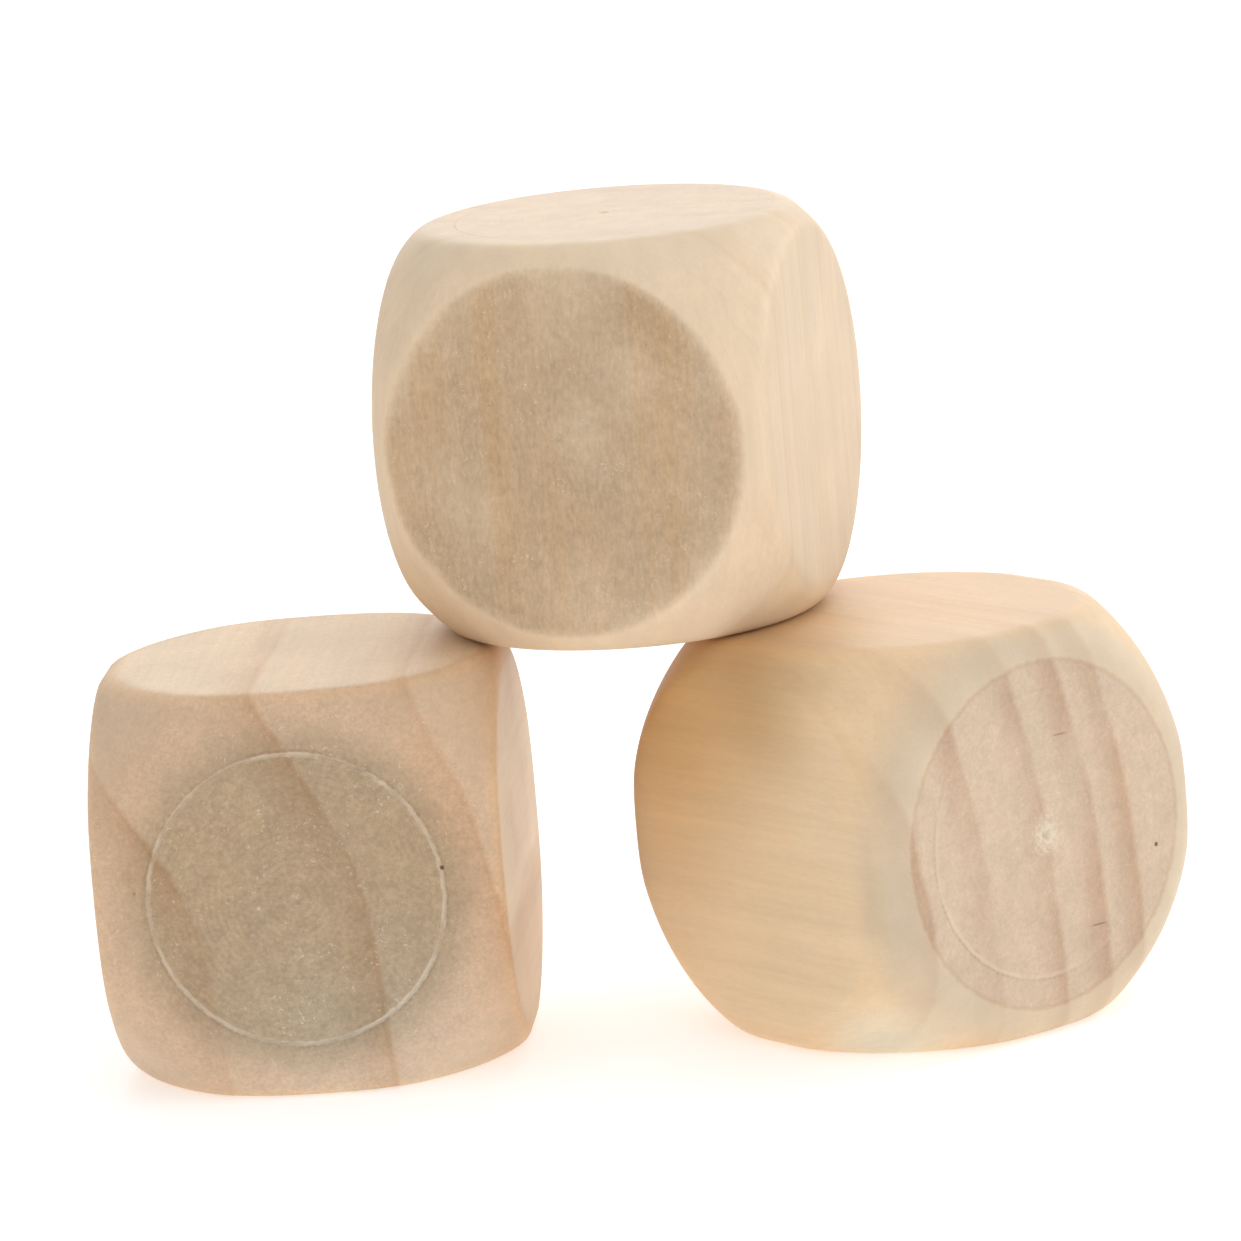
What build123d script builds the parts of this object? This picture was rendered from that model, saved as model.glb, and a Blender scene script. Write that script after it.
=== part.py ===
"""Three giant yard dice: two standing side by side on the ground, the third bridging both.

Each die is one solid block of wood, squared from bar, turned over its corners and ends
and then tumbled until every edge is soft.  Millimetres, +Z up, set centred on the origin.
"""
import math
import os

from build123d import *

# every die
side = 88.9              # across the flats, 3 1/2 in
ring_width = 0.8         # ring mark that turning leaves on both end flats
ring_depth = 0.25
dimple_d = 2.6           # dent of the lathe centre, in the middle of both end flats
dimple_depth = 1.0

# left die: crisp edges, its end flats fade into the dome
left_corner_cut = 15.2   # how far the turned dome stops short of a sharp cube's corner
left_tumble_r = 4.0      # rounding that tumbling leaves on every edge
left_rim_r = 15.0        # extra rounding of the rim where an end flat runs into the dome
left_ring_inset = 2.6    # ring mark, in from the edge of the end flat

# right die
right_corner_cut = 16.1
right_tumble_r = 6.0
right_rim_r = 3.7
right_ring_inset = 6.9

# top die: the deepest dome
top_corner_cut = 17.1
top_tumble_r = 5.0
top_rim_r = 1.5
top_ring_inset = 6.0

# how the dice are stacked, angles seen from above, counter-clockwise, degrees
left_lap = 3.3           # how far the top die's flat laps over the left die's
right_lap = 16.8         # and over the right die's
left_bearing = 189.4     # from the top die to the left die
right_bearing = -20.0    # from the top die to the right die
left_turn = -5.3
right_turn = 37.8
top_turn = -17.0

# sizes that follow
half = side / 2
corner_reach = math.sqrt(3) * half     # from the middle of a sharp cube to its corner


def end_flat_radius(corner_cut, tumble_r, rim_r):
    """Radius of the flat disc that turning leaves on the ends."""
    dome_r = corner_reach - corner_cut - tumble_r
    return math.sqrt((dome_r - rim_r) ** 2 - (half - tumble_r - rim_r) ** 2)


def side_flat_radius(corner_cut, tumble_r):
    """Half the width of the flat that is left of the square bar on each side."""
    dome_r = corner_reach - corner_cut - tumble_r
    return min(math.sqrt(dome_r ** 2 - (half - tumble_r) ** 2), half - tumble_r)


def turned_block(corner_cut, tumble_r, rim_r, ring_inset):
    """One blank die, turned about Z, centre on the origin, end flats up and down."""
    # the core is the die without its tumbled rounding
    core_half = half - tumble_r
    dome_r = corner_reach - corner_cut - tumble_r
    flat_r = end_flat_radius(corner_cut, tumble_r, rim_r)
    # rim arc: from the edge of the end flat, over its crest, to where it meets the dome
    rim_centre = (flat_r, core_half - rim_r)
    rim_angle = math.atan2(rim_centre[1], rim_centre[0])
    crest_angle = (rim_angle + math.pi / 2) / 2
    crest = (rim_centre[0] + rim_r * math.cos(crest_angle),
             rim_centre[1] + rim_r * math.sin(crest_angle))
    shoulder = (dome_r * math.cos(rim_angle), dome_r * math.sin(rim_angle))
    seam_on_corner = Plane(origin=(0, 0, 0), x_dir=(1, 1, 0), z_dir=(1, -1, 0))
    with BuildPart() as block:
        Box(2 * core_half, 2 * core_half, 2 * core_half)
        with BuildSketch(seam_on_corner):
            with BuildLine():
                Line((0, core_half), (flat_r, core_half))
                ThreePointArc((flat_r, core_half), crest, shoulder)
                ThreePointArc(shoulder, (dome_r, 0), (shoulder[0], -shoulder[1]))
                ThreePointArc((shoulder[0], -shoulder[1]), (crest[0], -crest[1]),
                              (flat_r, -core_half))
                Line((flat_r, -core_half), (0, -core_half))
                Line((0, -core_half), (0, core_half))
            make_face()
        revolve(axis=Axis.Z, mode=Mode.INTERSECT)
        # tumbling: grown by the rounding, every edge of the core comes out as an arc
        offset(amount=tumble_r, kind=Kind.ARC)
        # ring marks
        with BuildSketch(Plane.XZ):
            with Locations((flat_r - ring_inset, half), (flat_r - ring_inset, -half)):
                Rectangle(ring_width, 2 * ring_depth)
        revolve(axis=Axis.Z, mode=Mode.SUBTRACT)
        # centre dimples, each the lower half of a cone twice as tall and wide
        for end_turn in (0, 180):
            with Locations(Rot(end_turn, 0, 0) * Pos(0, 0, half - dimple_depth)):
                Cone(0, dimple_d, 2 * dimple_depth,
                     align=(Align.CENTER, Align.CENTER, Align.MIN), mode=Mode.SUBTRACT)
    return block.part


def beside_top(side_flat_r, lap, bearing, turn):
    """Stand of a lower die, its end flat forward, when the top die is over the origin."""
    top_flat_r = end_flat_radius(top_corner_cut, top_tumble_r, top_rim_r)
    distance = top_flat_r + side_flat_r - lap
    angle = math.radians(bearing)
    centre = Pos(distance * math.cos(angle), distance * math.sin(angle), half)
    return centre * Rot(0, 0, turn) * Rot(90, 0, 0)


left_blank = turned_block(left_corner_cut, left_tumble_r, left_rim_r, left_ring_inset)
right_blank = turned_block(right_corner_cut, right_tumble_r, right_rim_r, right_ring_inset)
top_blank = turned_block(top_corner_cut, top_tumble_r, top_rim_r, top_ring_inset)

left_stand = beside_top(side_flat_radius(left_corner_cut, left_tumble_r),
                        left_lap, left_bearing, left_turn)
right_stand = beside_top(side_flat_radius(right_corner_cut, right_tumble_r),
                         right_lap, right_bearing, right_turn)
top_stand = Pos(0, 0, side + half) * Rot(0, 0, top_turn)

# the set's own middle goes to the origin
standing = Compound([left_blank.moved(left_stand), right_blank.moved(right_stand),
                     top_blank.moved(top_stand)])
middle = standing.bounding_box().center()
to_origin = Pos(-middle.X, -middle.Y, 0)

os.makedirs("parts", exist_ok=True)

# left die, an end flat facing forward
with BuildPart() as left_die:
    with Locations(to_origin * left_stand):
        add(left_blank)
left_die.part.label = "left_die"
export_step(left_die.part, "parts/left_die.step")

# right die, turned a corner towards the left die
with BuildPart() as right_die:
    with Locations(to_origin * right_stand):
        add(right_blank)
right_die.part.label = "right_die"
export_step(right_die.part, "parts/right_die.step")

# top die, end flats up and down, bridging the other two
with BuildPart() as top_die:
    with Locations(to_origin * top_stand):
        add(top_blank)
top_die.part.label = "top_die"
export_step(top_die.part, "parts/top_die.step")
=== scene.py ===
"""Three giant yard dice of bare, turned and tumbled wood, one bridging the other two."""
import math
from collections import namedtuple

import bmesh
import bpy
from bpy.props import FloatProperty, FloatVectorProperty, IntProperty, PointerProperty
from bpy.types import Operator, Panel, PropertyGroup
from mathutils import Matrix, Vector
from mathutils.bvhtree import BVHTree


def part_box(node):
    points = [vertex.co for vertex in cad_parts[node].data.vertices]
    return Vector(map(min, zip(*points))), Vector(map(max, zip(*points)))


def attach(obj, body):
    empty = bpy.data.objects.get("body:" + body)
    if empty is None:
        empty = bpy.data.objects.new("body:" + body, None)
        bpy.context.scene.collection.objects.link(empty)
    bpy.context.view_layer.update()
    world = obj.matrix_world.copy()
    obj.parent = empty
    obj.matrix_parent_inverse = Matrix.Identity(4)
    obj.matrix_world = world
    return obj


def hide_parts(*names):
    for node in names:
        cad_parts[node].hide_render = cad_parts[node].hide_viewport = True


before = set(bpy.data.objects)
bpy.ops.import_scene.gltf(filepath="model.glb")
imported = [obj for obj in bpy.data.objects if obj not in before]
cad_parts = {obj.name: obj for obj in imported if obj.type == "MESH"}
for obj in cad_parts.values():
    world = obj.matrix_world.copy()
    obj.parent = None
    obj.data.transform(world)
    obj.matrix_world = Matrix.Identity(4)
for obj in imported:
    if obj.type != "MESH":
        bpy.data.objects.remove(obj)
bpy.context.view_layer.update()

bl_info = {
    "name": "Giant Yard Dice",
    "version": (1, 0, 0),
    "blender": (4, 5, 0),
    "location": "View3D > Sidebar > Yard Dice",
    "description": "Builds a stacked set of turned wooden yard dice on a pale floor",
    "category": "Object",
}

MM = 0.001
END_FORWARD = Matrix.Rotation(math.pi / 2, 4, "X")
END_UP = Matrix.Identity(4)
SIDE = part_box("top_die")[1].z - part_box("top_die")[0].z
HALF = SIDE / 2

# Steps of the dice's mesh, along its outline.
DENT_STEP = 0.16 * MM
RING_MARK_STEP = 0.13 * MM
EDGE_STEP = 0.5 * MM
ON_FLAT = 0.01 * MM
SMOOTHING_ROUNDS = 8

# Wood colours that all the dice share, and tints that multiply the wood under them.
EDGE_TINT = (0.88, 0.79, 0.72)
# Rims of the side flats: painted glow of light through the wood, with some burnish from tumbling.
RIM_BURNISH_AND_GLOW_TINT = (1.11, 1.075, 1.0)
CLOUD_TINT = (0.95, 0.965, 0.985)
STREAK_TINT = (0.97, 0.91, 0.82)
TOOL_RING_TINT = (0.965, 0.945, 0.92)
# Bright specks on the fuzz: partly wood rays, partly painted glints.
SPECK_RAYS_AND_GLINTS = (0.93, 0.84, 0.70)
RING_SHADE_WOOD = (0.28, 0.18, 0.11)
RING_LIGHT_WOOD = (0.78, 0.66, 0.51)
# Pale centre spot: torn fibres at the lathe centre on the right die, a painted glint on the other
# two.
CENTRE_FUZZ_AND_GLINT = (0.84, 0.75, 0.60)
KNOT_TINT = (0.30, 0.18, 0.12)
FAINT_KNOT_TINT = (0.72, 0.62, 0.52)

# A knot, scratch, grey stain, painted shade or painted light: where it is in the die's own axes,
# its reach in mm, how each axis is squeezed, its tint, and the part of its reach that has the full
# tint.
Mark = namedtuple("Mark", "place reach tint core squeeze", defaults=[(1.0, 1.0, 1.0)])


# ---------------------------------------------------------------- sizes and colours


class BlankSizes(PropertyGroup):
    """What all the dice share."""

    ring_width: FloatProperty(
        name="Ring Width", description="Width of the ring mark on the end flats",
        default=0.8 * MM, unit="LENGTH")
    ring_depth: FloatProperty(
        name="Ring Depth", description="Depth of a fresh ring mark",
        default=0.25 * MM, unit="LENGTH")
    dimple_width: FloatProperty(
        name="Dimple Width", description="Width of the lathe centre's dent",
        default=2.6 * MM, unit="LENGTH")
    dimple_depth: FloatProperty(
        name="Dimple Depth", description="Depth of the lathe centre's dent",
        default=1.0 * MM, unit="LENGTH")
    spokes: IntProperty(
        name="Spokes", description="Facets around the turned axis", default=304, min=64)
    ring_step: FloatProperty(
        name="Ring Step", description="Distance between the mesh's rings",
        default=0.66 * MM, unit="LENGTH")


def wood_colour(name, description, colour):
    return FloatVectorProperty(
        name=name, description=description, size=3, default=colour, subtype="COLOR")


def wood_length(name, description, size_mm):
    return FloatProperty(
        name=name, description=description, default=size_mm * MM, unit="LENGTH")


def wood_place(name, description, place_mm):
    return FloatVectorProperty(
        name=name, description=description, size=len(place_mm),
        default=[part * MM for part in place_mm], unit="LENGTH")


def wood_share(name, description, default):
    return FloatProperty(
        name=name, description=description, default=default, min=0.0, max=1.0, subtype="FACTOR")


def wood_turn(degrees):
    return FloatProperty(
        name="Turn", description="Turn on the ground, seen from above",
        default=math.radians(degrees), subtype="ANGLE")


class LeftDieWood(PropertyGroup):
    """The left die: crisp rims, three wide growth rings, a sharp ring mark forward."""

    turn: wood_turn(-5.3)
    flat_radius: wood_length("End Flat Radius", "Radius of the turned end flats", 34.4)
    tone_radius: wood_length("Tone Radius", "Where the end flat's darker tone fades out", 36.8)
    tone_fade: wood_length("Tone Fade", "Width over which that tone fades", 11.0)
    ring_radius: wood_length("Ring Radius", "Radius of the ring mark", 31.8)
    ring_wear: wood_share("Ring Wear", "How far the ring mark is worn away", 0.0)
    # On this die the pale centre spot is a painted glint.
    centre_fuzz_and_glint: wood_length("Centre Fuzz", "Radius of the pale spot of the lathe centre", 1.1)
    pith: wood_place("Pith", "Middle of the tree, across the turned axis", (-123.0, -36.0))
    wander: wood_length("Ring Wander", "How far the growth rings stray", 5.0)
    year_ends: wood_place("Year Ends", "Growth lines, out from the pith",
                          (78.0, 104.5, 141.3, 169.4, 186.0))
    late_width: wood_length("Late Wood", "Width of the darker wood of a year", 11.0)
    late_core: wood_length("Late Core", "Width of the darkest part of the late wood", 1.3)
    line_width: wood_length("Growth Line", "Width over which a year's late wood stops", 0.7)
    dome_wood: wood_colour("Dome", "Wood of the turned dome", (0.690, 0.492, 0.325))
    grain_wood: wood_colour("End Grain", "Dome wood near the ends", (0.675, 0.460, 0.296))
    end_wood: wood_colour("End Flats", "Fuzzy end grain of the flats", (0.468, 0.334, 0.205))
    x_wood: wood_colour("Flats Beside", "Side flats left and right", (0.790, 0.612, 0.415))
    y_wood: wood_colour("Flats Above", "Side flats above and below", (0.855, 0.655, 0.455))
    late_tint: wood_colour("Late Tint", "What late wood does to the colour", (0.84, 0.71, 0.60))
    fuzzy_sides: wood_share("Fuzzy Sides", "How fuzzy the flats across y are", 0.25)
    ends_show: wood_share("Rings on Ends", "How clearly growth rings show on the ends", 1.0)
    sides_show: wood_share("Rings on Sides", "How clearly growth rings show elsewhere", 0.85)
    dome_fuzz: wood_share("Dome Fuzz", "How fuzzy the turned dome is", 0.75)
    # Rim brightening is painted glow of light through the wood, with some burnish from tumbling.
    rim_burnish_and_glow: wood_share("Rim Glow", "How far tumbling brightened the side flats' rims", 1.0)
    side_fade: wood_length("Side Fade", "Depth below a side flat where its tone is gone", 0.3)
    end_fuzz: wood_share("End Fuzz", "How fuzzy the end flats are", 1.0)
    crisp_sides: wood_share("Crisp Sides", "How sharply the x flats stop at the end grain", 1.0)
    edge_line: wood_share("Edge Line", "Darker line where the end flats stop", 0.0)
    pin_knot: wood_place("Pin Knot", "A small dark knot, in the die's own axes",
                         (31.8, 4.9, 44.4))
    faint_knot: wood_place("Faint Knot", "A fainter knot", (-34.7, 3.5, 44.0))


class RightDieWood(PropertyGroup):
    """The right die: narrow pinkish stripes on its end, a plain orange side flat."""

    turn: wood_turn(37.8)
    flat_radius: wood_length("End Flat Radius", "Radius of the turned end flats", 37.6)
    tone_radius: wood_length("Tone Radius", "Where the end flat's darker tone fades out", 37.6)
    tone_fade: wood_length("Tone Fade", "Width over which that tone fades", 1.6)
    ring_radius: wood_length("Ring Radius", "Radius of the ring mark", 30.7)
    ring_wear: wood_share("Ring Wear", "How far the ring mark is worn away", 0.85)
    centre_fuzz_and_glint: wood_length("Centre Fuzz", "Radius of the pale spot of the lathe centre", 4.2)
    pith: wood_place("Pith", "Middle of the tree, across the turned axis", (-267.0, -40.0))
    wander: wood_length("Ring Wander", "How far the growth rings stray", 3.0)
    year_ends: wood_place("Year Ends", "Growth lines, out from the pith",
                          (234.4, 251.7, 270.1, 283.4, 293.5, 318.0))
    late_width: wood_length("Late Wood", "Width of the darker wood of a year", 8.2)
    late_core: wood_length("Late Core", "Width of the darkest part of the late wood", 3.8)
    line_width: wood_length("Growth Line", "Width over which a year's late wood stops", 1.2)
    dome_wood: wood_colour("Dome", "Wood of the turned dome", (0.830, 0.600, 0.370))
    grain_wood: wood_colour("End Grain", "Dome wood near the ends", (0.690, 0.545, 0.378))
    end_wood: wood_colour("End Flats", "Fuzzy end grain of the flats", (0.660, 0.500, 0.352))
    x_wood: wood_colour("Flats Beside", "Side flats left and right", (0.865, 0.652, 0.415))
    y_wood: wood_colour("Flats Above", "Side flats above and below", (0.800, 0.572, 0.360))
    late_tint: wood_colour("Late Tint", "What late wood does to the colour", (0.82, 0.71, 0.655))
    fuzzy_sides: wood_share("Fuzzy Sides", "How fuzzy the flats across y are", 0.2)
    ends_show: wood_share("Rings on Ends", "How clearly growth rings show on the ends", 1.0)
    sides_show: wood_share("Rings on Sides", "How clearly growth rings show elsewhere", 0.25)
    dome_fuzz: wood_share("Dome Fuzz", "How fuzzy the turned dome is", 0.12)
    # Rim brightening is painted glow of light through the wood, with some burnish from tumbling.
    rim_burnish_and_glow: wood_share("Rim Glow", "How far tumbling brightened the side flats' rims", 0.3)
    side_fade: wood_length("Side Fade", "Depth below a side flat where its tone is gone", 0.8)
    end_fuzz: wood_share("End Fuzz", "How fuzzy the end flats are", 0.55)
    crisp_sides: wood_share("Crisp Sides", "How sharply the x flats stop at the end grain", 0.0)
    edge_line: wood_share("Edge Line", "Darker line where the end flats stop", 0.6)
    pin_knot: wood_place("Pin Knot", "A small dark knot, in the die's own axes",
                         (31.2, -8.8, 44.4))
    faint_knot: wood_place("Faint Knot", "A fainter knot", (-20.0, 30.0, -44.0))


class TopDieWood(PropertyGroup):
    """The top die: a fuzzy darker flat forward, its end flats up and down."""

    turn: wood_turn(-17.0)
    flat_radius: wood_length("End Flat Radius", "Radius of the turned end flats", 37.6)
    tone_radius: wood_length("Tone Radius", "Where the end flat's darker tone fades out", 37.6)
    tone_fade: wood_length("Tone Fade", "Width over which that tone fades", 3.0)
    ring_radius: wood_length("Ring Radius", "Radius of the ring mark", 31.6)
    ring_wear: wood_share("Ring Wear", "How far the ring mark is worn away", 0.95)
    # On this die the pale centre spot is a painted glint.
    centre_fuzz_and_glint: wood_length("Centre Fuzz", "Radius of the pale spot of the lathe centre", 1.8)
    pith: wood_place("Pith", "Middle of the tree, across the turned axis", (10.0, 180.0))
    wander: wood_length("Ring Wander", "How far the growth rings stray", 6.0)
    year_ends: wood_place("Year Ends", "Growth lines, out from the pith",
                          (138.0, 152.0, 172.0, 189.0, 211.0, 232.0))
    late_width: wood_length("Late Wood", "Width of the darker wood of a year", 6.0)
    late_core: wood_length("Late Core", "Width of the darkest part of the late wood", 1.3)
    line_width: wood_length("Growth Line", "Width over which a year's late wood stops", 0.9)
    dome_wood: wood_colour("Dome", "Wood of the turned dome", (0.815, 0.622, 0.425))
    grain_wood: wood_colour("End Grain", "Dome wood near the ends", (0.805, 0.625, 0.432))
    end_wood: wood_colour("End Flats", "Fuzzy end grain of the flats", (0.805, 0.625, 0.455))
    x_wood: wood_colour("Flats Beside", "Side flats left and right", (0.705, 0.532, 0.348))
    y_wood: wood_colour("Flats Before", "Side flats in front and behind", (0.538, 0.376, 0.226))
    late_tint: wood_colour("Late Tint", "What late wood does to the colour", (0.90, 0.82, 0.74))
    fuzzy_sides: wood_share("Fuzzy Sides", "How fuzzy the flats across y are", 0.85)
    ends_show: wood_share("Rings on Ends", "How clearly growth rings show on the ends", 0.35)
    sides_show: wood_share("Rings on Sides", "How clearly growth rings show elsewhere", 0.4)
    dome_fuzz: wood_share("Dome Fuzz", "How fuzzy the turned dome is", 0.1)
    # Rim brightening is painted glow of light through the wood, with some burnish from tumbling.
    rim_burnish_and_glow: wood_share("Rim Glow", "How far tumbling brightened the side flats' rims", 0.0)
    side_fade: wood_length("Side Fade", "Depth below a side flat where its tone is gone", 1.0)
    end_fuzz: wood_share("End Fuzz", "How fuzzy the end flats are", 0.3)
    crisp_sides: wood_share("Crisp Sides", "How sharply the x flats stop at the end grain", 1.0)
    edge_line: wood_share("Edge Line", "Darker line where the end flats stop", 0.1)
    pin_knot: wood_place("Pin Knot", "A small dark knot, in the die's own axes",
                         (27.0, -39.0, 31.0))
    faint_knot: wood_place("Faint Knot", "A fainter knot", (24.0, -37.0, -33.0))


class StageSettings(PropertyGroup):
    """Floor, lights and camera."""

    floor_colour: FloatVectorProperty(
        name="Floor", description="Colour of the floor", size=3,
        default=(0.85, 0.85, 0.85), subtype="COLOR")
    floor_glow: FloatProperty(
        name="Floor Glow", description="Light that the floor gives off", default=0.42)
    light_left: FloatProperty(
        name="Light from the Left", description="Strength of the room's light, left", default=0.52)
    light_right: FloatProperty(
        name="Light from the Right", description="Strength of the room's light, right",
        default=0.94)
    camera_place: FloatVectorProperty(
        name="Camera Place", description="Where the camera stands", size=3,
        default=(-0.0007, -1.706, 0.440), unit="LENGTH")
    camera_dip: FloatProperty(
        name="Camera Dip", description="How far the camera looks down",
        default=math.radians(11.59), subtype="ANGLE")
    camera_roll: FloatProperty(
        name="Camera Roll", description="How far the camera leans to its side",
        default=math.radians(-4.88), subtype="ANGLE")
    lens: FloatProperty(
        name="Lens", description="Focal length, in mm on a 36 mm sensor", default=232.1)


# ---------------------------------------------------------------- shader building


class Graph:
    """Adds nodes to a node tree and feeds them with sockets or plain values."""

    def __init__(self, tree):
        self.tree = tree

    def feed(self, socket, value):
        if isinstance(value, bpy.types.NodeSocket):
            self.tree.links.new(value, socket)
        elif value is not None:
            socket.default_value = value

    def add(self, kind, inputs=None, **settings):
        node = self.tree.nodes.new(kind)
        for name, value in settings.items():
            setattr(node, name, value)
        for name, value in (inputs or {}).items():
            self.feed(node.inputs[name], value)
        return node

    def math(self, operation, a, b=None, c=None):
        node = self.add("ShaderNodeMath", operation=operation)
        for socket, value in zip(node.inputs, (a, b, c)):
            self.feed(socket, value)
        return node.outputs[0]

    def vector(self, operation, a, b=None):
        node = self.add("ShaderNodeVectorMath", operation=operation)
        self.feed(node.inputs[0], a)
        self.feed(node.inputs[1], b)
        return node.outputs["Value" if operation == "LENGTH" else "Vector"]

    def split(self, vector):
        return self.add("ShaderNodeSeparateXYZ", {"Vector": vector}).outputs

    def join(self, x, y, z):
        return self.add("ShaderNodeCombineXYZ", {"X": x, "Y": y, "Z": z}).outputs[0]

    def ramp(self, value, low, high, bottom=0.0, top=1.0):
        """Eases from bottom to top as value goes from low to high."""
        return self.add(
            "ShaderNodeMapRange",
            {"Value": value, "From Min": low, "From Max": high, "To Min": bottom, "To Max": top},
            interpolation_type="SMOOTHSTEP").outputs[0]

    def noise(self, vector, scale, detail=2.0, roughness=0.5):
        return self.add(
            "ShaderNodeTexNoise",
            {"Vector": vector, "Scale": scale, "Detail": detail, "Roughness": roughness},
        ).outputs["Fac"]

    def mix(self, factor, a, b, blend="MIX"):
        node = self.add("ShaderNodeMix", data_type="RGBA", blend_type=blend)
        self.feed(node.inputs[0], factor)
        self.feed(node.inputs[6], a)
        self.feed(node.inputs[7], b)
        return node.outputs[2]


def new_group(name, inputs, outputs):
    """A shader node group; inputs and outputs are (name, socket type, default)."""
    tree = bpy.data.node_groups.new(name, "ShaderNodeTree")
    for label, kind, default in inputs:
        socket = tree.interface.new_socket(name=label, in_out="INPUT", socket_type=kind)
        if default is not None:
            socket.default_value = default
    for label in outputs:
        tree.interface.new_socket(name=label, in_out="OUTPUT", socket_type="NodeSocketFloat")
    graph = Graph(tree)
    return graph, graph.add("NodeGroupInput").outputs, graph.add("NodeGroupOutput").inputs


NUMBER = "NodeSocketFloat"
POINT = "NodeSocketVector"


def growth_rings_group():
    """Wandering distance from the pith; all lengths in mm, the grain runs along Z."""
    graph, given, out = new_group(
        "Growth Rings",
        [("Point", POINT, None), ("Pith", POINT, None), ("Wander", NUMBER, 3.0)],
        ["Distance", "Strength"])
    along_grain = graph.vector("MULTIPLY", given["Point"], (1.0, 1.0, 0.22))
    sway = graph.math("SUBTRACT", graph.noise(along_grain, 0.020, 1.0), 0.5)
    ripple = graph.math("SUBTRACT", graph.noise(along_grain, 0.16, 2.0), 0.5)
    from_pith = graph.vector("SUBTRACT", given["Point"], given["Pith"])
    from_pith = graph.vector("MULTIPLY", from_pith, (1.0, 1.0, 0.0))
    distance = graph.vector("LENGTH", from_pith)
    distance = graph.math("MULTIPLY_ADD", sway, given["Wander"], distance)
    graph.feed(out["Distance"], graph.math("MULTIPLY_ADD", ripple, 1.6, distance))
    along_ring = graph.vector("MULTIPLY", given["Point"], (1.0, 0.35, 0.15))
    strength = graph.ramp(graph.noise(along_ring, 0.07, 1.0), 0.32, 0.66, 0.35, 1.0)
    graph.feed(out["Strength"], strength)
    return graph.tree


def fibres_group():
    """Fibre streaks along Z, broad and fine, and larger clouds; all lengths in mm."""
    graph, given, out = new_group(
        "Fibres", [("Point", POINT, None)], ["Streaks", "Broad", "Fine", "Clouds"])
    for name, shrink, scale, detail in (
            ("Streaks", 0.045, 0.75, 3.0), ("Broad", 0.03, 0.14, 2.0),
            ("Fine", 0.16, 2.6, 2.0), ("Clouds", 0.4, 0.045, 2.0)):
        stretched = graph.vector("MULTIPLY", given["Point"], (1.0, 1.0, shrink))
        graph.feed(out[name], graph.noise(stretched, scale, detail, 0.55))
    return graph.tree


def flats_group():
    """Masks of the flats, of the rims beside the side flats, and of end grain; in mm."""
    graph, given, out = new_group(
        "Flats",
        [("Point", POINT, None), ("Half", NUMBER, 44.45), ("End Radius", NUMBER, 37.6),
         ("End Fade", NUMBER, 2.0), ("Side Fade", NUMBER, 0.3)],
        ["X Side", "Y Side", "End", "End Edge", "Rim", "Radius", "End Grain"])
    x, y, z = graph.split(given["Point"])
    rough = graph.math("SUBTRACT", graph.noise(given["Point"], 0.55, 3.0, 0.6), 0.5)
    drift = graph.math("SUBTRACT", graph.noise(given["Point"], 0.045, 1.0), 0.5)
    rims = []
    for name, reach in (("X Side", x), ("Y Side", y)):
        below = graph.math("SUBTRACT", given["Half"], graph.math("ABSOLUTE", reach))
        part = graph.math("DIVIDE", below, given["Side Fade"])
        ragged = graph.math("MULTIPLY_ADD", rough, 0.5, part)
        ragged = graph.math("MULTIPLY_ADD", drift, 1.3, ragged)
        graph.feed(out[name], graph.ramp(ragged, -0.25, 1.0, 1.0, 0.0))
        rising = graph.ramp(below, 0.02, 0.35)
        rims.append(graph.math("MULTIPLY", rising, graph.ramp(below, 0.35, 3.2, 1.0, 0.0)))
    graph.feed(out["Rim"], graph.math("MAXIMUM", rims[0], rims[1]))
    radius = graph.vector("LENGTH", graph.join(x, y, 0.0))
    graph.feed(out["Radius"], radius)
    unit = graph.vector("NORMALIZE", given["Point"])
    endward = graph.math("ABSOLUTE", graph.split(unit)[2])
    graph.feed(out["End Grain"], graph.ramp(endward, 0.56, 0.74))
    ragged_radius = graph.math("MULTIPLY_ADD", rough, 1.4, radius)
    past_edge = graph.math("SUBTRACT", ragged_radius, given["End Radius"])
    inside = graph.ramp(graph.math("DIVIDE", past_edge, given["End Fade"]), -0.5, 0.5, 1.0, 0.0)
    on_end = graph.ramp(endward, 0.5, 0.6)
    graph.feed(out["End"], graph.math("MULTIPLY", inside, on_end))
    edge = graph.ramp(graph.math("ABSOLUTE", past_edge), 0.1, 0.9, 1.0, 0.0)
    graph.feed(out["End Edge"], graph.math("MULTIPLY", edge, on_end))
    return graph.tree


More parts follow.
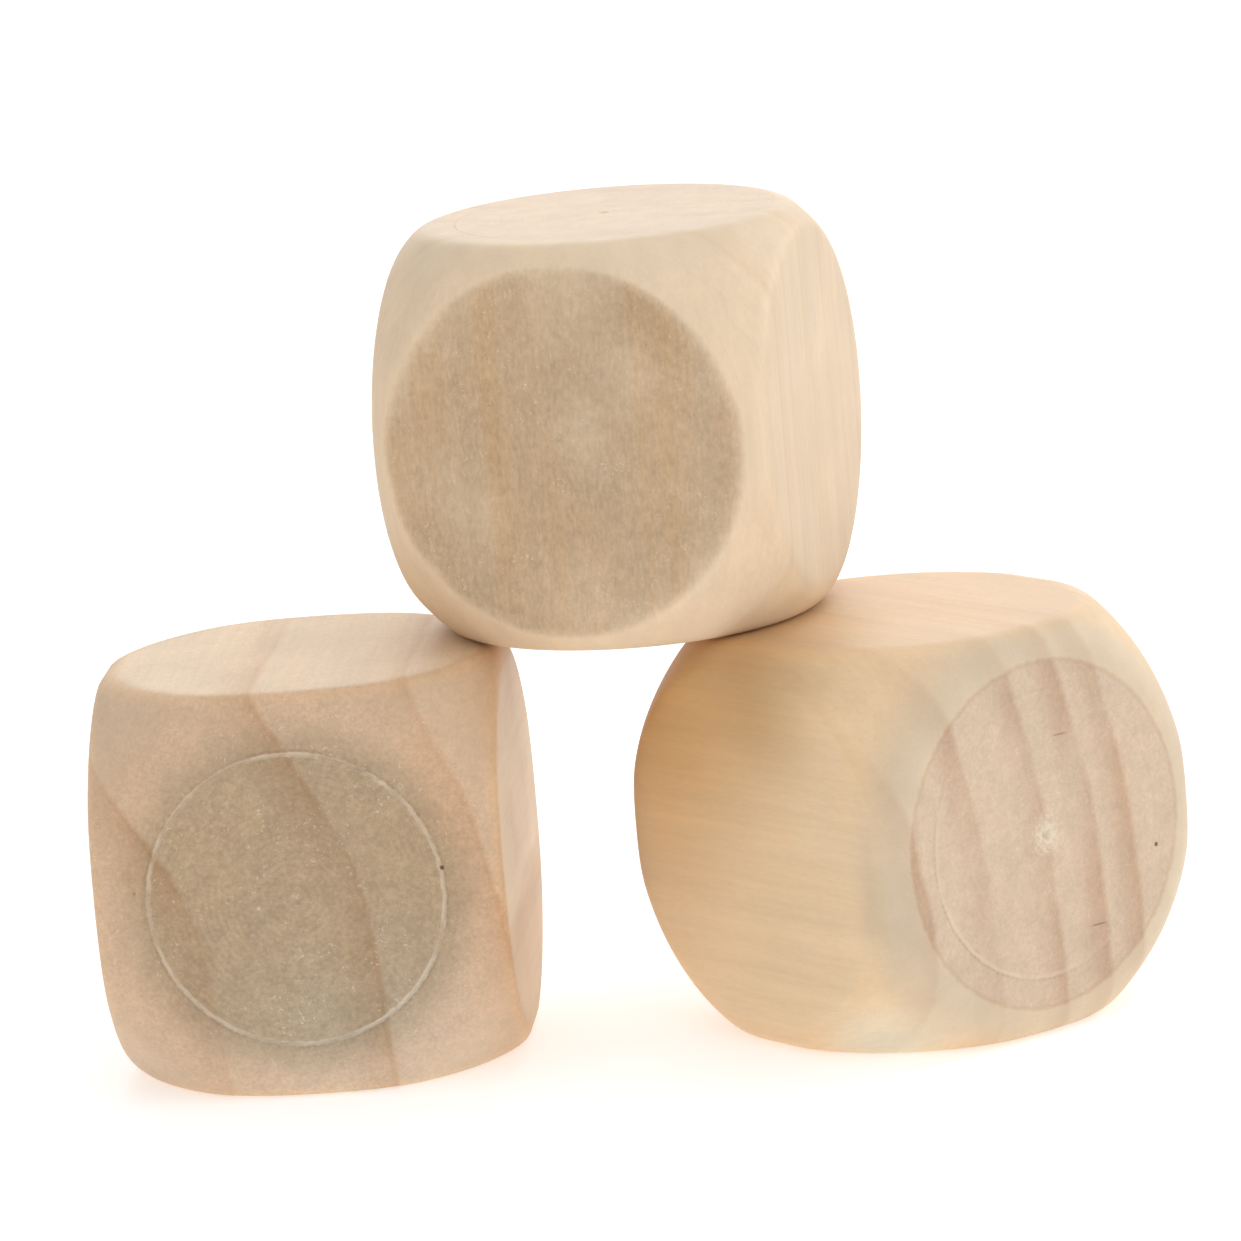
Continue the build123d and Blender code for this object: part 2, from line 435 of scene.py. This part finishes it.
def turning_marks_group():
    """What the lathe leaves on an end flat: ring mark, tool rings and a pale centre that is partly
    a painted glint; in mm.
    """
    graph, given, out = new_group(
        "Turning Marks",
        [("Radius", NUMBER, 0.0), ("Point", POINT, None), ("Ring Radius", NUMBER, 31.0),
         ("Ring Width", NUMBER, 0.8), ("Ring Wear", NUMBER, 0.0), ("Centre Radius", NUMBER, 2.0)],
        ["Ring Light", "Ring Shade", "Tool Rings", "Centre"])
    x, y, _ = graph.split(given["Point"])
    low_left = graph.math("DIVIDE", graph.math("ADD", x, y), given["Radius"])
    kept = graph.ramp(low_left, -1.35, -0.2, 1.0, 0.0)
    kept = graph.math("MULTIPLY", kept, given["Ring Wear"])
    patchy = graph.ramp(graph.noise(given["Point"], 0.13, 2.0), 0.36, 0.60, 0.35, 1.0)
    fresh = graph.math("SUBTRACT", 1.0, given["Ring Wear"])
    strength = graph.math("ADD", fresh, graph.math("MULTIPLY", kept, 0.6))
    strength = graph.math("MULTIPLY", strength, patchy)
    ragged = graph.math("SUBTRACT", graph.noise(given["Point"], 0.5, 3.0, 0.6), 0.5)
    ragged_radius = graph.math("MULTIPLY_ADD", ragged, 0.9, given["Radius"])
    from_ring = graph.math("SUBTRACT", ragged_radius, given["Ring Radius"])
    near = graph.math("DIVIDE", graph.math("ABSOLUTE", from_ring), given["Ring Width"])
    light = graph.ramp(near, 0.15, 0.85, 1.0, 0.0)
    graph.feed(out["Ring Light"], graph.math("MULTIPLY", light, strength))
    beside = graph.math("ABSOLUTE", graph.math("SUBTRACT", from_ring, given["Ring Width"]))
    shade = graph.ramp(graph.math("DIVIDE", beside, given["Ring Width"]), 0.05, 0.55, 1.0, 0.0)
    teeth_around = graph.math("MULTIPLY", graph.math("ARCTAN2", y, x), 130.0)
    teeth = graph.ramp(graph.math("SINE", teeth_around), -0.6, 0.7, 0.5, 1.0)
    toothed = graph.math("MULTIPLY", shade, teeth)
    graph.feed(out["Ring Shade"], graph.math("MULTIPLY", toothed, strength))
    turned = graph.math("SINE", graph.math("MULTIPLY", given["Radius"], 4.4))
    cut_places = graph.ramp(graph.noise(given["Point"], 0.08, 1.0), 0.42, 0.62)
    graph.feed(out["Tool Rings"], graph.math("MULTIPLY", turned, cut_places))
    torn = graph.math("SUBTRACT", graph.noise(given["Point"], 0.9, 4.0, 0.7), 0.5)
    part = graph.math("DIVIDE", given["Radius"], given["Centre Radius"])
    frayed = graph.math("MULTIPLY_ADD", torn, 3.0, part)
    graph.feed(out["Centre"], graph.ramp(frayed, 0.0, 1.3, 1.0, 0.0))
    return graph.tree


def fuzz_group():
    """Raised fibre ends on rough wood: fuzz, bright specks that are partly wood rays and partly
    painted glints, and a soft mottle; in mm.
    """
    graph, given, out = new_group("Fuzz", [("Point", POINT, None)], ["Fuzz", "Specks", "Mottle"])
    combed = graph.vector("MULTIPLY", given["Point"], (1.0, 1.0, 0.42))
    graph.feed(out["Fuzz"], graph.noise(combed, 1.15, 3.0, 0.70))
    patches = graph.ramp(graph.noise(given["Point"], 0.10, 1.0), 0.36, 0.62, 0.12, 1.0)
    curly = graph.add(
        "ShaderNodeTexNoise",
        {"Vector": given["Point"], "Scale": 0.95, "Detail": 1.0, "Roughness": 0.4,
         "Distortion": 1.6}).outputs["Fac"]
    sparse = graph.ramp(curly, 0.645, 0.76)
    graph.feed(out["Specks"], graph.math("MULTIPLY", sparse, patches))
    graph.feed(out["Mottle"], graph.noise(given["Point"], 0.42, 3.0, 0.60))
    return graph.tree


def spot_group():
    """A spot or scratch: a stretched ball round a place, all in mm."""
    graph, given, out = new_group(
        "Spot",
        [("Point", POINT, None), ("Place", POINT, None), ("Squeeze", POINT, (1.0, 1.0, 1.0)),
         ("Reach", NUMBER, 0.5), ("Core", NUMBER, 0.5)],
        ["Spot"])
    away = graph.vector("MULTIPLY", graph.vector("SUBTRACT", given["Point"], given["Place"]),
                        given["Squeeze"])
    part = graph.math("DIVIDE", graph.vector("LENGTH", away), given["Reach"])
    graph.feed(out["Spot"], graph.ramp(part, given["Core"], 1.15, 1.0, 0.0))
    return graph.tree


WOOD_GROUPS = {
    "Growth Rings": growth_rings_group,
    "Fibres": fibres_group,
    "Flats": flats_group,
    "Turning Marks": turning_marks_group,
    "Fuzz": fuzz_group,
    "Spot": spot_group,
}


def wood_group(name):
    """A node group that the woods share, made when it is first asked for."""
    if name not in bpy.data.node_groups:
        WOOD_GROUPS[name]()
    return bpy.data.node_groups[name]


def year_ramp(graph, distance, wood):
    """How far a place is late wood: it darkens out to each growth line, then stops."""
    margin = 20.0
    ends = [end / MM for end in wood.year_ends]
    first = ends[0] - margin
    span = ends[-1] + margin - first
    late, core, line = wood.late_width / MM, wood.late_core / MM, wood.line_width / MM
    part = graph.math("DIVIDE", graph.math("SUBTRACT", distance, first), span)
    node = graph.add("ShaderNodeValToRGB", {"Fac": part})
    stops = node.color_ramp.elements
    stops[0].color = stops[1].color = (0.0, 0.0, 0.0, 1.0)
    for end in ends:
        for place, level in (
                (end - late, 0.0), (end - core, 0.62), (end - 0.3, 1.0), (end + line, 0.0)):
            stops.new((place - first) / span).color = (level, level, level, 1.0)
    return node.outputs["Color"]


def die_wood(name, stand, wood, sizes, marks):
    """Bare tumbled wood of one die, its pattern placed by the die's own stand."""
    material = bpy.data.materials.new(name)
    material.use_nodes = True
    graph = Graph(material.node_tree)
    shader = material.node_tree.nodes["Principled BSDF"]

    def group(group_name, **inputs):
        node = graph.add("ShaderNodeGroup", node_tree=wood_group(group_name))
        for label, value in inputs.items():
            graph.feed(node.inputs[label.replace("_", " ")], value)
        return node.outputs

    point = graph.add(
        "ShaderNodeMapping",
        {"Vector": graph.add("ShaderNodeTexCoord").outputs["Object"],
         "Location": stand.translation, "Rotation": stand.to_euler(), "Scale": (MM, MM, MM)},
        vector_type="TEXTURE").outputs[0]
    pith = (wood.pith[0] / MM, wood.pith[1] / MM, 0.0)
    rings = group("Growth Rings", Point=point, Pith=pith, Wander=wood.wander / MM)
    fibres = group("Fibres", Point=point)
    flats = group("Flats", Point=point, Half=HALF / MM, End_Radius=wood.tone_radius / MM,
                  End_Fade=wood.tone_fade / MM, Side_Fade=wood.side_fade / MM)
    turning = group("Turning Marks", Point=point, Radius=flats["Radius"],
                    Ring_Radius=wood.ring_radius / MM, Ring_Width=sizes.ring_width / MM,
                    Ring_Wear=wood.ring_wear, Centre_Radius=wood.centre_fuzz_and_glint / MM)
    fuzz = group("Fuzz", Point=point)

    def paint(mask, under, colour, blend="MIX", share=1.0):
        return graph.mix(graph.math("MULTIPLY", mask, share), under, (*colour, 1.0), blend)

    crisp = graph.math("MULTIPLY_ADD", flats["X Side"], -wood.crisp_sides, 1.0)
    colour = paint(flats["X Side"], (*wood.dome_wood, 1.0), wood.x_wood)
    colour = paint(graph.math("MULTIPLY", flats["End Grain"], crisp), colour, wood.grain_wood)
    colour = paint(flats["Y Side"], colour, wood.y_wood)
    colour = paint(flats["End"], colour, wood.end_wood)
    colour = paint(flats["End Edge"], colour, EDGE_TINT, "MULTIPLY", wood.edge_line)
    # Brighter rims beside the side flats: painted glow of light through the wood, with some burnish
    # from tumbling.
    colour = paint(flats["Rim"], colour, RIM_BURNISH_AND_GLOW_TINT, "MULTIPLY", wood.rim_burnish_and_glow)
    on_end = graph.math("MULTIPLY", flats["End"], 0.68)
    endness = graph.math("MULTIPLY_ADD", flats["End Grain"], 0.32, on_end)
    show = graph.math("MULTIPLY_ADD", endness, wood.ends_show - wood.sides_show, wood.sides_show)
    late = graph.math("MULTIPLY", year_ramp(graph, rings["Distance"], wood), rings["Strength"])
    late = graph.math("MULTIPLY", late, show)
    colour = paint(late, colour, wood.late_tint, "MULTIPLY")
    colour = paint(graph.ramp(fibres["Clouds"], 0.35, 0.65), colour, CLOUD_TINT, "MULTIPLY")
    warm_streaks = graph.math("MULTIPLY", graph.ramp(fibres["Broad"], 0.48, 0.68), flats["Y Side"])
    colour = paint(warm_streaks, colour, STREAK_TINT, "MULTIPLY", wood.fuzzy_sides)

    end_fuzz = graph.math("MULTIPLY", flats["End"], wood.end_fuzz)
    side_fuzz = graph.math("MULTIPLY", flats["Y Side"], wood.fuzzy_sides)
    rough = graph.math("MAXIMUM", end_fuzz, side_fuzz)
    on_dome = graph.math("MULTIPLY_ADD", flats["End Grain"], 0.55, 0.45)
    on_dome = graph.math("MULTIPLY", on_dome, crisp)
    rough = graph.math("MAXIMUM", rough, graph.math("MULTIPLY", on_dome, wood.dome_fuzz))
    lengthwise = graph.math("SUBTRACT", 1.0, flats["End Grain"])
    for value, low, high, share in (
            (fibres["Broad"], 0.965, 1.03, 1.0), (fibres["Streaks"], 0.97, 1.025, lengthwise),
            (fibres["Fine"], 0.975, 1.02, 1.0), (fuzz["Fuzz"], 0.87, 1.12, rough),
            (fuzz["Mottle"], 0.925, 1.07, rough)):
        colour = graph.mix(share, colour, grey(graph, value, low, high), "MULTIPLY")
    # Bright specks: partly wood rays, partly painted glints on the fuzz.
    specks = graph.math("MULTIPLY", fuzz["Specks"], rough)
    colour = paint(specks, colour, SPECK_RAYS_AND_GLINTS, share=0.38)

    # The centre's pale spot is partly torn fibres and partly a painted glint.
    for mark_kind, wood_there, share in (
            ("Ring Shade", RING_SHADE_WOOD, 0.50), ("Ring Light", RING_LIGHT_WOOD, 0.55),
            ("Centre", CENTRE_FUZZ_AND_GLINT, 0.62)):
        mask = graph.math("MULTIPLY", turning[mark_kind], flats["End Grain"])
        colour = paint(mask, colour, wood_there, share=share)
    tool_rings = graph.math("MULTIPLY", graph.ramp(turning["Tool Rings"], -0.2, 1.0), flats["End"])
    colour = paint(tool_rings, colour, TOOL_RING_TINT, "MULTIPLY", 1.0 - wood.ring_wear)
    # Knots, scratches, a grey stain, painted shade and painted light, each multiplied onto the
    # wood.
    for mark in marks:
        mask = group("Spot", Point=point, Place=tuple(part / MM for part in mark.place),
                     Squeeze=mark.squeeze, Reach=mark.reach, Core=mark.core)["Spot"]
        colour = paint(mask, colour, mark.tint, "MULTIPLY")
    graph.feed(shader.inputs["Base Color"], colour)
    shader.inputs["Specular IOR Level"].default_value = 0.5
    graph.feed(shader.inputs["Roughness"], graph.math("MULTIPLY_ADD", rough, 0.25, 0.50))
    height = graph.math("MULTIPLY", fuzz["Fuzz"], graph.math("MULTIPLY_ADD", rough, 0.9, 0.04))
    height = graph.math("MULTIPLY_ADD", fibres["Fine"], 0.12, height)
    cut_rings = graph.math("MULTIPLY", turning["Tool Rings"], flats["End"])
    height = graph.math("MULTIPLY_ADD", cut_rings, 0.16, height)
    bump = graph.add("ShaderNodeBump", {"Strength": 0.6, "Distance": 0.12 * MM, "Height": height})
    graph.feed(shader.inputs["Normal"], bump.outputs[0])
    return material


def grey(graph, value, low, high):
    """A grey from low to high, as value goes over the middle of a noise's range."""
    level = graph.ramp(value, 0.25, 0.75, low, high)
    return graph.join(level, level, level)


# ---------------------------------------------------------------- the dice


def stand_of(node, turn, end):
    """Where a die's own axes lie: origin in its middle, Z along the turned axis."""
    low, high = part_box(node)
    return Matrix.Translation((low + high) / 2) @ Matrix.Rotation(turn, 4, "Z") @ end


def spin_lattice(sizes, wood):
    """A lattice of rings around Z, close together at the marks of turning."""
    width = sizes.ring_width
    inner = [(0.0, HALF), (sizes.dimple_width / 2, HALF),
             (wood.ring_radius - width, HALF), (wood.ring_radius + width, HALF),
             (wood.flat_radius, HALF), (HALF, 0.35 * SIDE), (1.3 * HALF, 0.0)]
    steps = [DENT_STEP, sizes.ring_step, RING_MARK_STEP, sizes.ring_step, EDGE_STEP,
             sizes.ring_step]
    outline = inner + [(x, -z) for x, z in reversed(inner[:-1])]
    steps = steps + steps[::-1]
    bm = bmesh.new()
    corners = [Vector((x, 0.0, z)) for x, z in outline]
    tip = bm.verts.new(corners[0])
    for start, end, step in zip(corners[:-1], corners[1:], steps):
        count = max(1, round((end - start).length / step))
        for _ in range(count):
            tip = bmesh.ops.extrude_vert_indiv(bm, verts=[tip])["verts"][0]
            bmesh.ops.translate(bm, verts=[tip], vec=(end - start) / count)
    quarter_turn = math.pi / 2
    bmesh.ops.spin(bm, geom=bm.verts[:] + bm.edges[:], cent=(0, 0, 0), axis=(0, 0, 1),
                   dvec=(0, 0, 0), angle=quarter_turn, steps=sizes.spokes // 4, use_merge=False)
    quarter = bm.verts[:] + bm.edges[:] + bm.faces[:]
    for turns in (1, 2, 3):
        copy = bmesh.ops.duplicate(bm, geom=quarter)["geom"]
        bmesh.ops.rotate(bm, verts=[part for part in copy if isinstance(part, bmesh.types.BMVert)],
                         cent=(0, 0, 0), matrix=Matrix.Rotation(turns * quarter_turn, 3, "Z"))
    bmesh.ops.remove_doubles(bm, verts=bm.verts[:], dist=0.001 * MM)
    bmesh.ops.recalc_face_normals(bm, faces=bm.faces[:])
    return bm


def press_onto_block(bm, node, stand, wood):
    """Moves the lattice out to the die's surface, leaving its end flats as they are."""
    block = BVHTree.FromObject(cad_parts[node], bpy.context.evaluated_depsgraph_get())
    centre = stand.translation
    to_own = stand.inverted()
    rounded = []
    for vert in bm.verts:
        if abs(vert.co.z) > HALF - ON_FLAT and vert.co.xy.length <= wood.flat_radius:
            continue
        direction = (stand.to_3x3() @ vert.co).normalized()
        hit = block.ray_cast(centre, direction)[0]
        if hit is None:
            raise RuntimeError(f"{node}: the lattice misses the block")
        vert.co = to_own @ hit
        rounded.append(vert)
    for _ in range(SMOOTHING_ROUNDS):
        bmesh.ops.smooth_vert(bm, verts=rounded, factor=0.5,
                              use_axis_x=True, use_axis_y=True, use_axis_z=True)


def turning_relief(bm, sizes, wood):
    """Cuts the ring mark and the lathe centre's dent into both end flats."""
    for vert in bm.verts:
        radius = vert.co.xy.length
        if abs(vert.co.z) < HALF - ON_FLAT or radius > wood.flat_radius:
            continue
        across = abs(radius - wood.ring_radius) / (sizes.ring_width / 2)
        depth = sizes.ring_depth * (1.0 - wood.ring_wear) * max(0.0, 1.0 - across)
        dent = radius / (sizes.dimple_width / 2)
        depth += sizes.dimple_depth * max(0.0, 1.0 - dent)
        vert.co.z -= math.copysign(depth, vert.co.z)


def build_die(node, stand, wood, sizes, marks=()):
    """One finished die: mesh, material and its place in the frame."""
    bm = spin_lattice(sizes, wood)
    press_onto_block(bm, node, stand, wood)
    turning_relief(bm, sizes, wood)
    bmesh.ops.transform(bm, matrix=stand, verts=bm.verts[:])
    mesh = bpy.data.meshes.new(node + "_wood")
    bm.to_mesh(mesh)
    bm.free()
    mesh.shade_smooth()
    die = bpy.data.objects.new(node + "_wood", mesh)
    bpy.context.collection.objects.link(die)
    marks = [Mark(wood.pin_knot, reach=0.6, tint=KNOT_TINT, core=0.5),
             Mark(wood.faint_knot, reach=0.65, tint=FAINT_KNOT_TINT, core=0.5), *marks]
    die.data.materials.append(die_wood(node.replace("_", " "), stand, wood, sizes, marks))
    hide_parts(node)
    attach(die, node)
    return die


class YARDDICE_OT_left_die(Operator):
    """Build the left die, its end flat forward"""

    bl_idname = "yarddice.left_die"
    bl_label = "Left Die"

    def execute(self, context):
        wood = context.scene.left_die_wood
        # Painted reflection of the white floor: the lower front of the die paler and cooler.
        painted_floor_reflection = Mark((10.0 * MM, -HALF, HALF), reach=48.0, tint=(1.03, 1.14, 1.26), core=0.05)
        build_die("left_die", stand_of("left_die", wood.turn, END_FORWARD), wood,
                  context.scene.blank_sizes, [painted_floor_reflection])
        return {"FINISHED"}


class YARDDICE_OT_right_die(Operator):
    """Build the right die, a corner forward"""

    bl_idname = "yarddice.right_die"
    bl_label = "Right Die"

    def execute(self, context):
        wood = context.scene.right_die_wood
        upright, scratch = (1.0, 0.33, 1.0), (0.22, 2.2, 1.0)
        marks = [
            Mark((6.0 * MM, 20.8 * MM, HALF), 0.6, (0.72, 0.62, 0.54), 0.3, scratch),
            Mark((13.2 * MM, -22.7 * MM, HALF), 0.6, (0.60, 0.48, 0.40), 0.3, scratch),
            # Painted shade high on the left flat, under the overhanging top die (this mark and the
            # next).
            Mark((-HALF, 34.0 * MM, -28.0 * MM), 50.0, (0.80, 0.66, 0.46), 0.05),
            Mark((-HALF, 38.0 * MM, 6.0 * MM), 26.0, (0.80, 0.72, 0.60), 0.05),
            Mark((-41.5 * MM, -14.0 * MM, 39.5 * MM), 8.0, (0.86, 0.88, 0.90), 0.0, upright),
            # Painted light from the white floor on the lower left: paler and cooler wood.
            Mark((-34.0 * MM, -41.0 * MM, 28.0 * MM), 17.0, (1.0, 1.20, 1.45), 0.05),
        ]
        build_die("right_die", stand_of("right_die", wood.turn, END_FORWARD), wood,
                  context.scene.blank_sizes, marks)
        return {"FINISHED"}


class YARDDICE_OT_top_die(Operator):
    """Build the top die, its end flats up and down"""

    bl_idname = "yarddice.top_die"
    bl_label = "Top Die"

    def execute(self, context):
        wood = context.scene.top_die_wood
        # Paler wood at the lower right front, and painted light lifting the shade where the die
        # rests on the right die.
        pale_wood_and_painted_light = Mark(
            (39.0 * MM, -0.5 * HALF, -0.9 * HALF), reach=28.0, tint=(1.04, 1.12, 1.20), core=0.05)
        build_die("top_die", stand_of("top_die", wood.turn, END_UP), wood,
                  context.scene.blank_sizes, [pale_wood_and_painted_light])
        return {"FINISHED"}


# ---------------------------------------------------------------- the stage


def area_light(name, size, power, place, target):
    lamp = bpy.data.lights.new(name, "AREA")
    lamp.shape = "DISK"
    lamp.size = size
    lamp.energy = power
    holder = bpy.data.objects.new(name, lamp)
    holder.location = place
    holder.rotation_euler = (Vector(target) - Vector(place)).to_track_quat("-Z", "Y").to_euler()
    bpy.context.collection.objects.link(holder)


class YARDDICE_OT_stage(Operator):
    """Build the pale floor, the soft lights and the camera"""

    bl_idname = "yarddice.stage"
    bl_label = "Stage"

    def execute(self, context):
        stage = context.scene.dice_stage
        floor_mesh = bpy.data.meshes.new("floor")
        bm = bmesh.new()
        bmesh.ops.create_grid(bm, x_segments=1, y_segments=1, size=6.0)
        bm.to_mesh(floor_mesh)
        bm.free()
        floor = bpy.data.objects.new("floor", floor_mesh)
        context.collection.objects.link(floor)
        plain = bpy.data.materials.new("floor")
        plain.use_nodes = True
        paint = plain.node_tree.nodes["Principled BSDF"]
        paint.inputs["Base Color"].default_value = (*stage.floor_colour, 1.0)
        paint.inputs["Roughness"].default_value = 0.9
        paint.inputs["Emission Color"].default_value = (1.0, 1.0, 1.0, 1.0)
        paint.inputs["Emission Strength"].default_value = stage.floor_glow
        floor_mesh.materials.append(plain)

        world = bpy.data.worlds.new("studio")
        world.use_nodes = True
        sky = world.node_tree.nodes["Background"]
        sky.inputs["Color"].default_value = (1.0, 1.0, 1.0, 1.0)
        studio = Graph(world.node_tree)
        to_right = studio.split(studio.add("ShaderNodeTexCoord").outputs["Generated"])[0]
        studio.feed(sky.inputs["Strength"], studio.ramp(
            to_right, -1.0, 0.4, stage.light_left, stage.light_right))
        context.scene.world = world
        middle = (0.0, 0.0, SIDE)
        area_light("overhead", 1.2, 3.0, (0.2, 0.2, 1.6), middle)
        area_light("right_side", 1.2, 6.0, (1.7, 0.9, 0.8), middle)
        area_light("behind", 1.6, 9.0, (0.0, 2.3, 0.8), middle)

        lens = bpy.data.cameras.new("camera")
        lens.lens = stage.lens
        lens.sensor_width = 36.0
        lens.clip_end = 50.0
        camera = bpy.data.objects.new("camera", lens)
        camera.matrix_world = (
            Matrix.Translation(stage.camera_place)
            @ Matrix.Rotation(math.pi / 2 - stage.camera_dip, 4, "X")
            @ Matrix.Rotation(stage.camera_roll, 4, "Z"))
        context.collection.objects.link(camera)
        context.scene.camera = camera
        context.scene.view_settings.view_transform = "Standard"
        return {"FINISHED"}


class YARDDICE_PT_panel(Panel):
    """Lists the dice and the stage"""

    bl_idname = "YARDDICE_PT_panel"
    bl_label = "Yard Dice"
    bl_space_type = "VIEW_3D"
    bl_region_type = "UI"
    bl_category = "Yard Dice"

    def draw(self, context):
        layout = self.layout
        for operator in STEPS:
            layout.operator(operator.bl_idname)


GROUPS = {
    "blank_sizes": BlankSizes,
    "left_die_wood": LeftDieWood,
    "right_die_wood": RightDieWood,
    "top_die_wood": TopDieWood,
    "dice_stage": StageSettings,
}
STEPS = (YARDDICE_OT_left_die, YARDDICE_OT_right_die, YARDDICE_OT_top_die, YARDDICE_OT_stage)


def register():
    for group in GROUPS.values():
        bpy.utils.register_class(group)
    for name, group in GROUPS.items():
        setattr(bpy.types.Scene, name, PointerProperty(type=group))
    for operator in STEPS:
        bpy.utils.register_class(operator)
    bpy.utils.register_class(YARDDICE_PT_panel)


def unregister():
    bpy.utils.unregister_class(YARDDICE_PT_panel)
    for operator in reversed(STEPS):
        bpy.utils.unregister_class(operator)
    for name in GROUPS:
        delattr(bpy.types.Scene, name)
    for group in reversed(GROUPS.values()):
        bpy.utils.unregister_class(group)


def main():
    register()
    bpy.ops.yarddice.left_die()
    bpy.ops.yarddice.right_die()
    bpy.ops.yarddice.top_die()
    bpy.ops.yarddice.stage()


if __name__ == "__main__":
    main()
